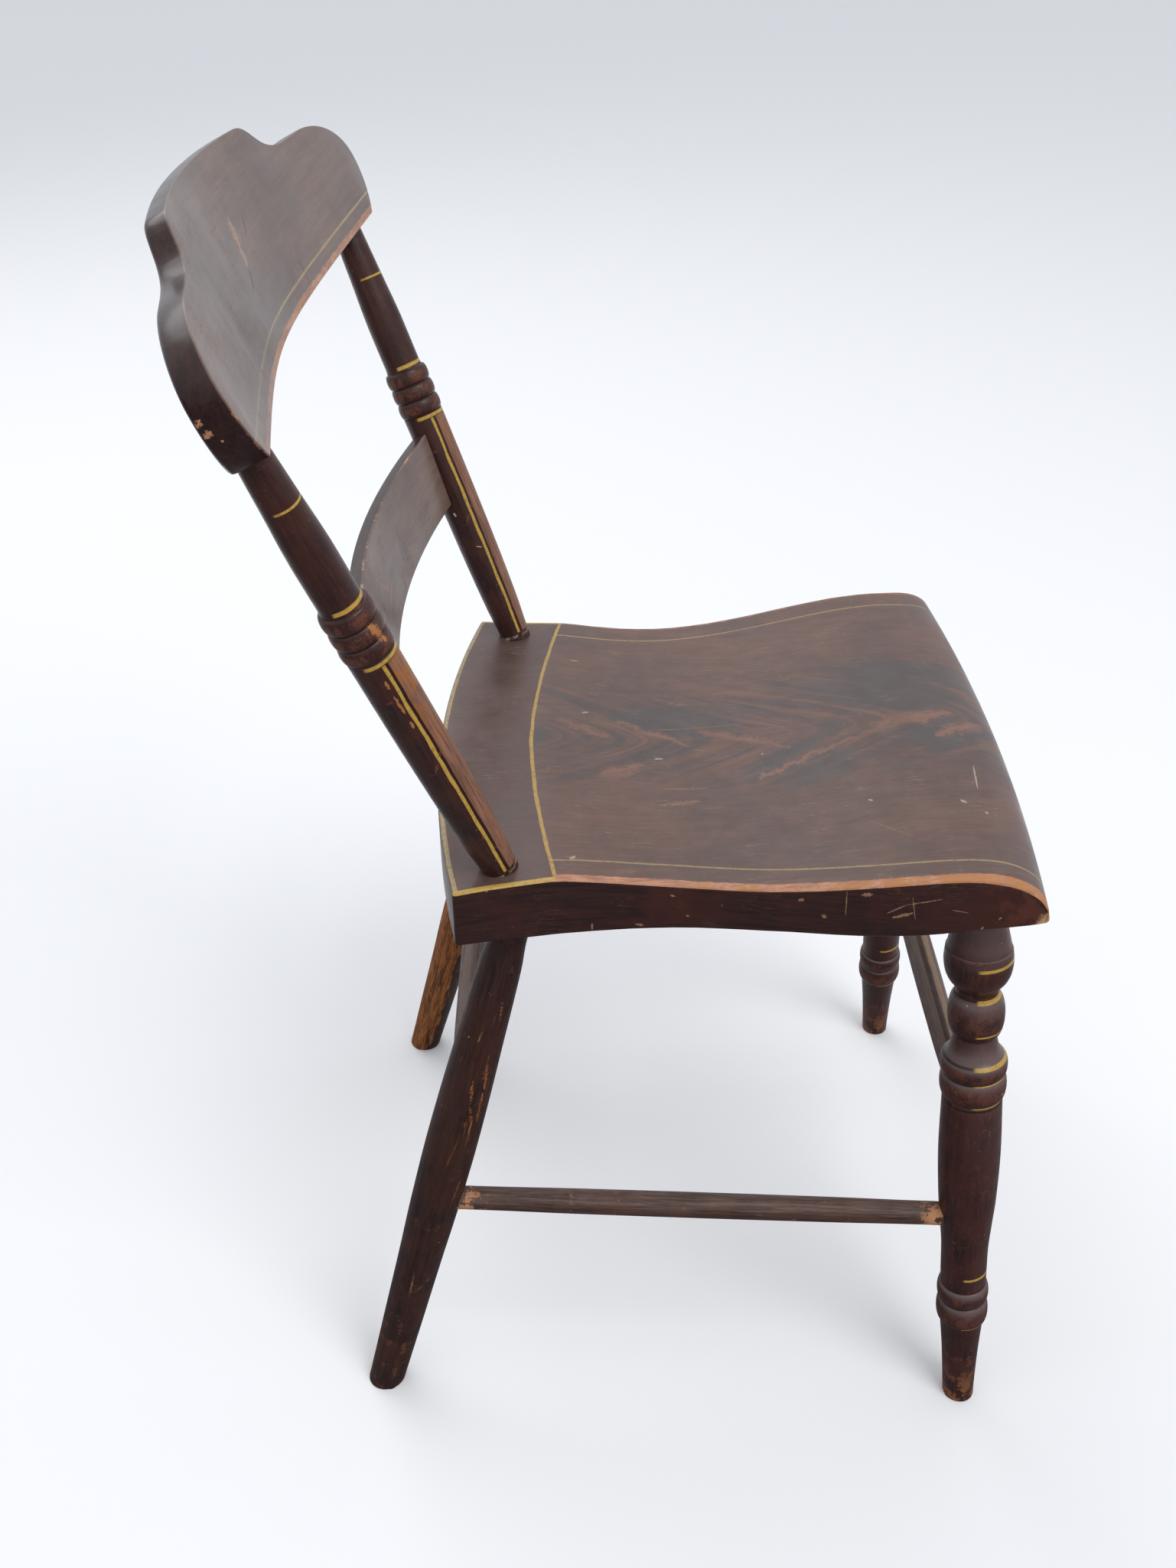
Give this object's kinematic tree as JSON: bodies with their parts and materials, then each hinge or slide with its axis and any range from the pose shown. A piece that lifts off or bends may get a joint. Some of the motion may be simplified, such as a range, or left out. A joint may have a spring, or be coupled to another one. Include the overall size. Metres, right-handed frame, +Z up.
{
  "type": "plank seat side chair",
  "caption": "Plank seat side chair with a bowed crest rail, mid rail, turned front legs and posts, and rod stretchers, in worn dark paint with thin stripes.",
  "frame": {"origin": "on the floor, at the middle of the chair's outline seen from above", "axes": "+Z up, -Y the way the sitter faces, +X to the sitter's left, with the chair alike on both sides of X = 0"},
  "size_m": [0.4668, 0.5042, 0.8043],
  "materials": {
    "seat_paint": "worn satin paint over wood",
    "back_paint": "worn satin paint over wood",
    "post_paint": "worn glossy paint over wood",
    "turned_paint": "worn glossy paint over wood",
    "worn_paint": "rubbed paint with bare wood streaks",
    "rod_paint": "rubbed dark paint over wood"
  },
  "bodies": {
    "root": {"seat_plank": "seat_paint", "crest_rail": "back_paint", "mid_rail": "back_paint", "back_post_left": "post_paint", "back_post_right": "post_paint", "front_leg_left": "turned_paint", "front_leg_right": "turned_paint", "rear_leg_left": "worn_paint", "rear_leg_right": "worn_paint", "side_stretcher_left": "rod_paint", "side_stretcher_right": "rod_paint", "front_stretcher": "rod_paint", "rear_stretcher": "rod_paint"}
  },
  "joints": []
}
